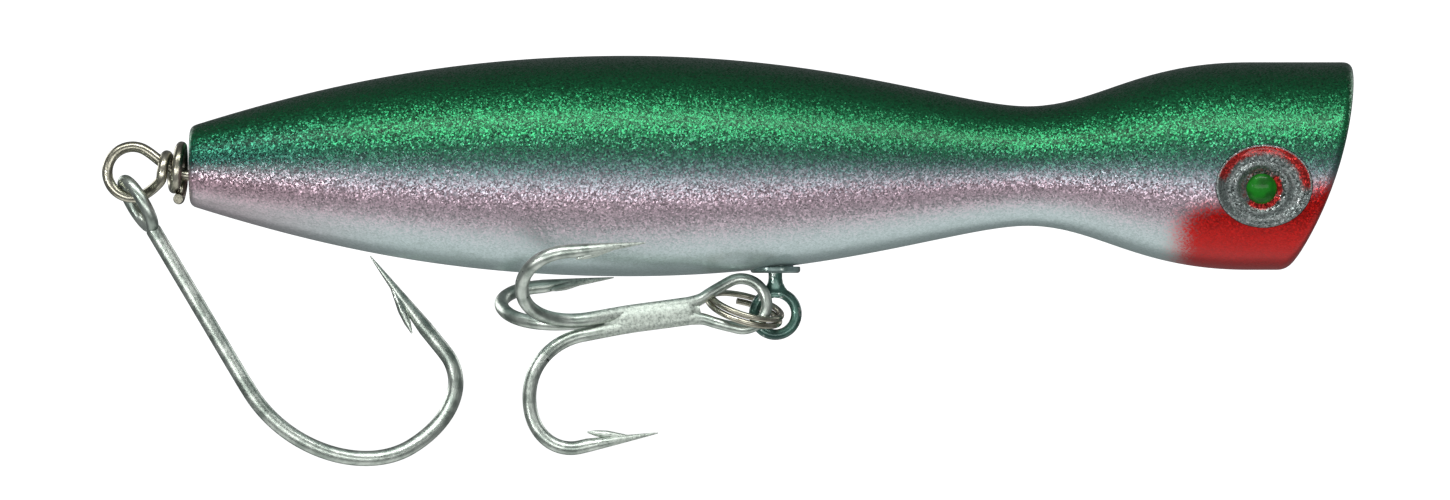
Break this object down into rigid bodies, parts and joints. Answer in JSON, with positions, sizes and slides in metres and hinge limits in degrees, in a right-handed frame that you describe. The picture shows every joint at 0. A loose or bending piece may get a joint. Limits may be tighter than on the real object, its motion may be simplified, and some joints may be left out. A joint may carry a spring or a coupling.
{
  "type": "topwater popper lure",
  "caption": "Cup-mouthed surface fishing lure: waisted hollow body on a through wire, belly swivel with split ring and three-point hook, long single tail hook.",
  "frame": {"origin": "centre of the line-tie ring in the mouth, where the leader clips on", "axes": "+X to the nose, +Y to the lure's left side, +Z to its back; the treble hook and tail hook lie as drawn up for display at rest"},
  "size_m": [0.1451, 0.0306, 0.0476],
  "materials": {
    "painted_body": "moulded ABS under metal-flake lacquer and clear coat",
    "stainless_wire": "drawn stainless wire, satin",
    "tinned_steel": "tinned high-carbon steel, satin",
    "oversprayed_steel": "metal with thin green paint overspray",
    "lead": "cast lead, dull",
    "brass": "turned brass",
    "eye_glitter": "moulded plastic with silver flake lacquer",
    "eye_green": "gloss green enamel"
  },
  "bodies": {
    "lure_body": {"body_shell_right": "painted_body", "body_shell_left": "painted_body", "through_wire": "stainless_wire", "belly_weight": "lead", "tail_weight": "lead", "swivel_top_eye": "stainless_wire", "swivel_barrel": "brass", "belly_grommet": "oversprayed_steel", "eye_dish_right": "eye_glitter", "eye_dish_left": "eye_glitter", "eye_pupil_right": "eye_green", "eye_pupil_left": "eye_green"},
    "swivel": {"swivel_bottom_eye": "oversprayed_steel"},
    "split_ring": {"split_ring": "stainless_wire"},
    "treble": {"treble_double_hook": "tinned_steel", "treble_single_hook": "tinned_steel"},
    "tail_hook": {"tail_hook": "tinned_steel"}
  },
  "joints": [
    {"name": "swivel_spin", "type": "hinge", "parent": "lure_body", "child": "swivel", "pos_m": [-0.0615, 0, -0.0116], "axis": [0, 0, 1], "range_deg": [-3, 12]},
    {"name": "split_ring_swing", "type": "hinge", "parent": "swivel", "child": "split_ring", "pos_m": [-0.0615, 0, -0.01616], "axis": [0, -1, 0], "range_deg": [0, 85]},
    {"name": "treble_swing", "type": "hinge", "parent": "split_ring", "child": "treble", "pos_m": [-0.06645, -0.0021, -0.0174], "axis": [0.1654, -0.9711, 0.1719], "range_deg": [0, 85]},
    {"name": "tail_hook_swing", "type": "hinge", "parent": "lure_body", "child": "tail_hook", "pos_m": [-0.13605, 0, 0.0003], "axis": [0, 1, 0], "range_deg": [-4, 180]}
  ]
}
